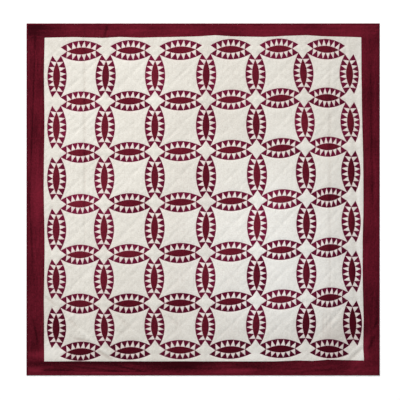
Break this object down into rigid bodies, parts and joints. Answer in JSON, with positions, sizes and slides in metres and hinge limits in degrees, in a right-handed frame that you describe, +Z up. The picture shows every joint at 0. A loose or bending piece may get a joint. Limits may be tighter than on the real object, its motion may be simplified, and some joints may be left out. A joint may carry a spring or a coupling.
{
  "type": "quilted throw blanket",
  "caption": "Square patchwork throw lying flat: a quilted field of interlocking toothed rings in burgundy on off-white, with plain burgundy border strips and a bound edge.",
  "frame": {"origin": "middle of the flat underside, on the surface that the quilt lies on", "axes": "+X across the quilt to the right of the face, +Y along it towards its head, +Z up out of the face"},
  "size_m": [1.83, 1.824, 0.0103],
  "materials": {
    "pieced_cotton": "plain-weave cotton, pieced in off-white and burgundy and quilted",
    "border_cotton": "plain-weave burgundy cotton, quilted, softly worn",
    "binding_cotton": "burgundy cotton folded over the edge and slip-stitched"
  },
  "bodies": {
    "root": {"pieced_field": "pieced_cotton", "border_top": "border_cotton", "border_bottom": "border_cotton", "border_left": "border_cotton", "border_right": "border_cotton", "binding_top": "binding_cotton", "binding_bottom": "binding_cotton", "binding_left": "binding_cotton", "binding_right": "binding_cotton"}
  },
  "joints": []
}
